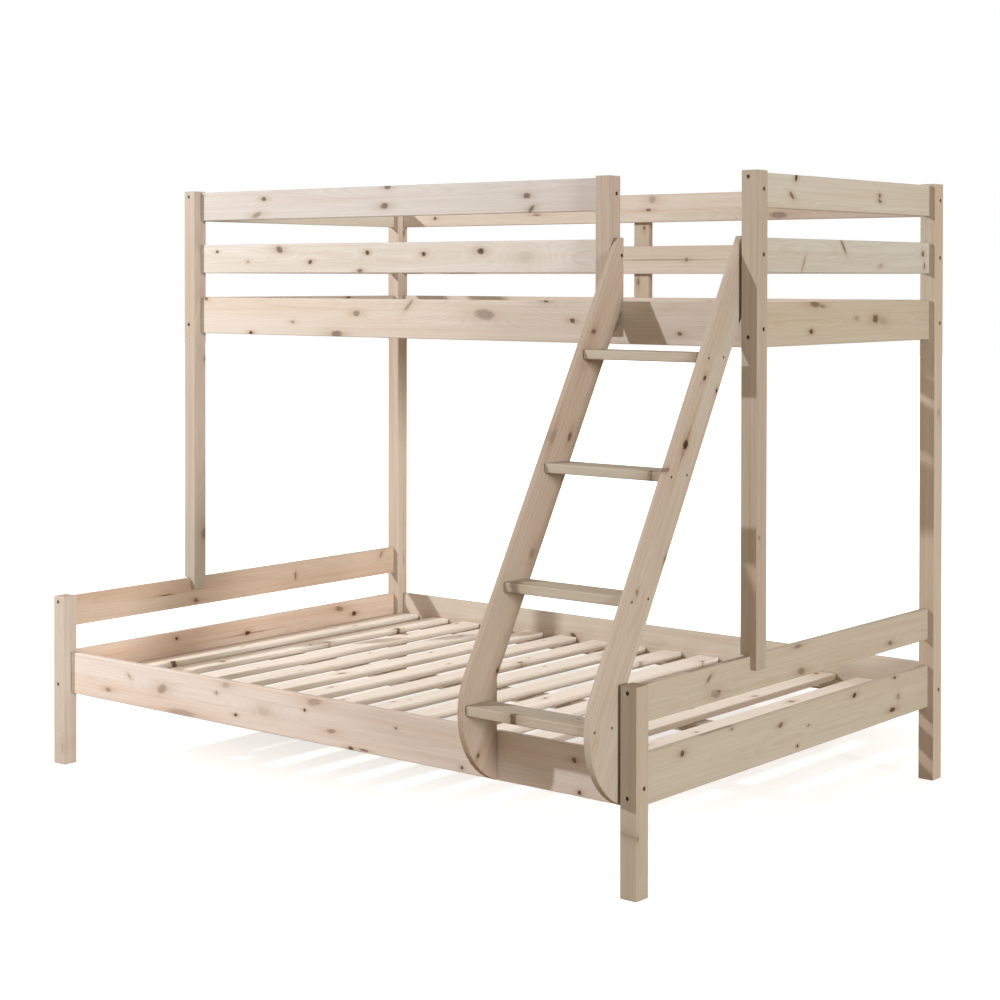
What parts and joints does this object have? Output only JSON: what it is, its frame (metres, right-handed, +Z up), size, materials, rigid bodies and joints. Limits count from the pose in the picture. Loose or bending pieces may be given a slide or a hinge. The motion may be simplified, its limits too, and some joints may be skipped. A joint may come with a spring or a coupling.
{
  "type": "bunk bed with ladder",
  "caption": "Pine bunk bed: a wide lower bed, a narrower upper bed with guard boards, and a slanting ladder hooked over its front rail.",
  "frame": {"origin": "on the floor, under the middle of the whole bed's box, ladder included", "axes": "+X along the bed from the left end to the right end, where the ladder stands; +Y from the ladder's side to the rear; +Z up"},
  "size_m": [2.096, 1.63, 1.698],
  "materials": {
    "post_pine": "planed, untreated pine",
    "rail_pine": "planed, untreated pine",
    "ladder_pine": "planed, untreated pine",
    "slat_pine": "planed, untreated pine",
    "bolt_steel": "dark, dull steel",
    "strap_webbing": "woven cotton strap"
  },
  "bodies": {
    "root": {"lower_front_post_left": "post_pine", "lower_front_post_right": "post_pine", "rear_post_left": "post_pine", "rear_post_right": "post_pine", "upper_front_post_left": "post_pine", "upper_front_post_right": "post_pine", "guard_post": "post_pine", "centre_leg": "post_pine", "lower_end_rail_left": "rail_pine", "lower_end_rail_right": "rail_pine", "lower_end_deep_rail_left": "rail_pine", "lower_end_deep_rail_right": "rail_pine", "upper_end_deep_rail_left": "rail_pine", "upper_end_deep_rail_right": "rail_pine", "upper_end_middle_board_left": "rail_pine", "upper_end_middle_board_right": "rail_pine", "upper_end_top_board_left": "rail_pine", "upper_end_top_board_right": "rail_pine", "lower_front_rail": "rail_pine", "lower_rear_rail": "rail_pine", "upper_front_deep_rail": "rail_pine", "guard_middle_board": "rail_pine", "guard_top_board": "rail_pine", "upper_rear_deep_rail": "rail_pine", "rear_middle_board": "rail_pine", "rear_top_board": "rail_pine", "rear_batten": "rail_pine", "ladder_stile_left": "ladder_pine", "ladder_stile_right": "ladder_pine", "ladder_tread_1": "ladder_pine", "ladder_tread_2": "ladder_pine", "ladder_tread_3": "ladder_pine", "ladder_tread_4": "ladder_pine", "lower_slat_01": "slat_pine", "lower_slat_02": "slat_pine", "lower_slat_03": "slat_pine", "lower_slat_04": "slat_pine", "lower_slat_05": "slat_pine", "lower_slat_06": "slat_pine", "lower_slat_07": "slat_pine", "lower_slat_08": "slat_pine", "lower_slat_09": "slat_pine", "lower_slat_10": "slat_pine", "lower_slat_11": "slat_pine", "lower_slat_12": "slat_pine", "lower_slat_13": "slat_pine", "lower_slat_14": "slat_pine", "lower_slat_15": "slat_pine", "slat_beam": "slat_pine", "upper_slat_base": "slat_pine", "lower_ledger_front": "slat_pine", "lower_ledger_rear": "slat_pine", "upper_ledger_front": "slat_pine", "upper_ledger_rear": "slat_pine"}
  },
  "joints": []
}
